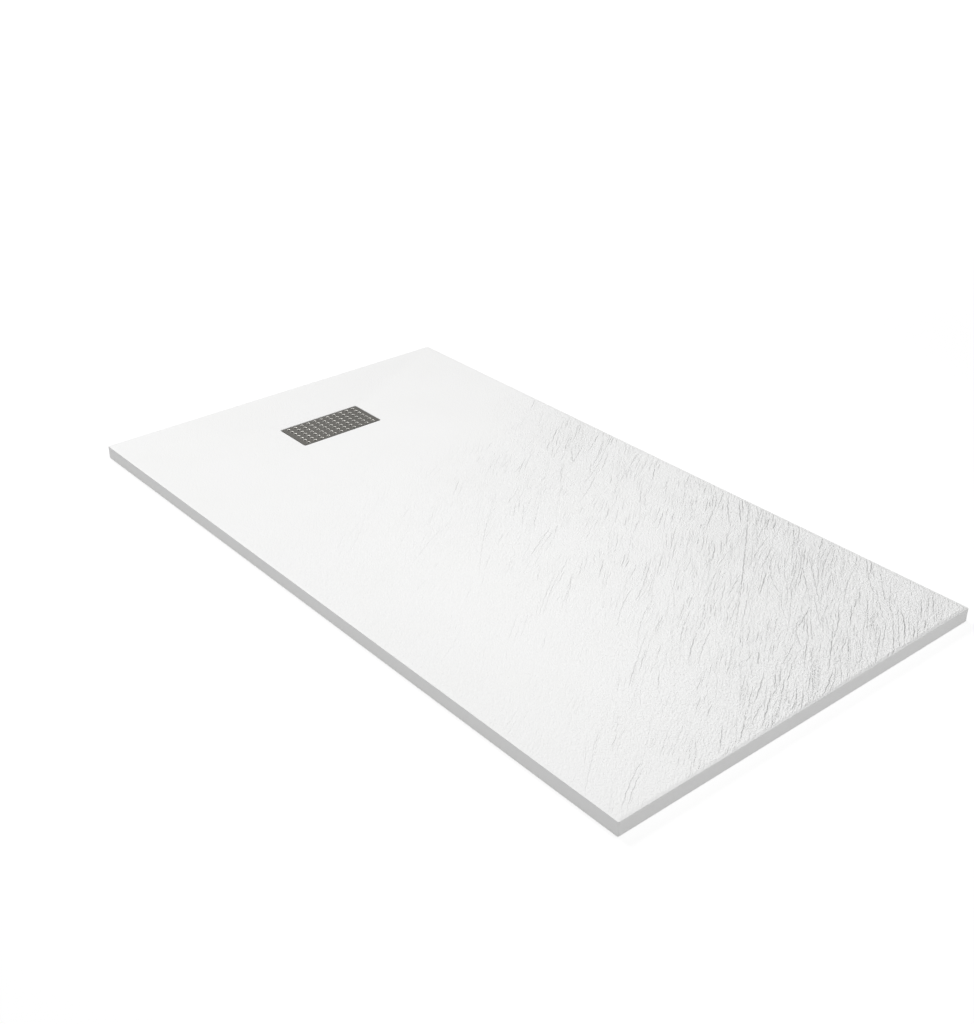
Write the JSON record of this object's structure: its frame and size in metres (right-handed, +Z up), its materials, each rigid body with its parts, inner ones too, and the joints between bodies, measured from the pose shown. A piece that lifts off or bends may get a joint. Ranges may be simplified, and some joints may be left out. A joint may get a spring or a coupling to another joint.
{
  "type": "shower tray",
  "caption": "Low rectangular shower tray with falls to a sump near one end, a lift-out perforated grate, and a trap with a lift-out strainer and swivelling outlet.",
  "frame": {"origin": "centre of the tray's flat underside, the plane that lies on the bedding", "axes": "+X along the tray away from the drain end, +Y across it to the long side opposite the one nearest the viewer, +Z up out of the tray"},
  "size_m": [1.6, 0.9, 0.1],
  "materials": {
    "tray_moulding": "satin",
    "grate_steel": "satin",
    "trim_steel": "polished",
    "seal_rubber": "matte",
    "insert_plastic": "satin",
    "trap_plastic": "satin",
    "nut_plastic": "satin"
  },
  "bodies": {
    "tray": {"tray_body": "tray_moulding", "waste_flange": "insert_plastic", "flange_trim": "trim_steel", "upper_gasket": "seal_rubber", "lower_gasket": "seal_rubber", "trap_collar": "trap_plastic", "trap_bowl": "trap_plastic", "ball_seal": "seal_rubber", "ball_nut": "nut_plastic"},
    "grate": {"drain_grate": "grate_steel", "grate_pads": "seal_rubber"},
    "strainer": {"hair_strainer": "insert_plastic"},
    "insert": {"dip_tube": "insert_plastic", "dip_tube_seal": "seal_rubber", "trap_cup": "insert_plastic"},
    "outlet": {"outlet_ball": "trap_plastic", "pipe_seal": "seal_rubber", "pipe_washer": "nut_plastic", "pipe_nut": "nut_plastic"}
  },
  "joints": [
    {"name": "grate_lift", "type": "slide", "parent": "tray", "child": "grate", "axis": [0, 0, 1], "range_m": [0, 0.2]},
    {"name": "strainer_lift", "type": "slide", "parent": "tray", "child": "strainer", "axis": [0, 0, 1], "range_m": [0, 0.14]},
    {"name": "insert_lift", "type": "slide", "parent": "tray", "child": "insert", "axis": [0, 0, 1], "range_m": [0, 0.1]},
    {"name": "outlet_swing", "type": "hinge", "parent": "tray", "child": "outlet", "pos_m": [-0.658, 0, -0.04], "axis": [0, 0, 1], "range_deg": [-10, 10]}
  ],
  "couplings": [
    {"joint": "strainer_lift", "follows": "grate_lift", "ratio": 0.7},
    {"joint": "insert_lift", "follows": "grate_lift", "ratio": 0.5}
  ]
}
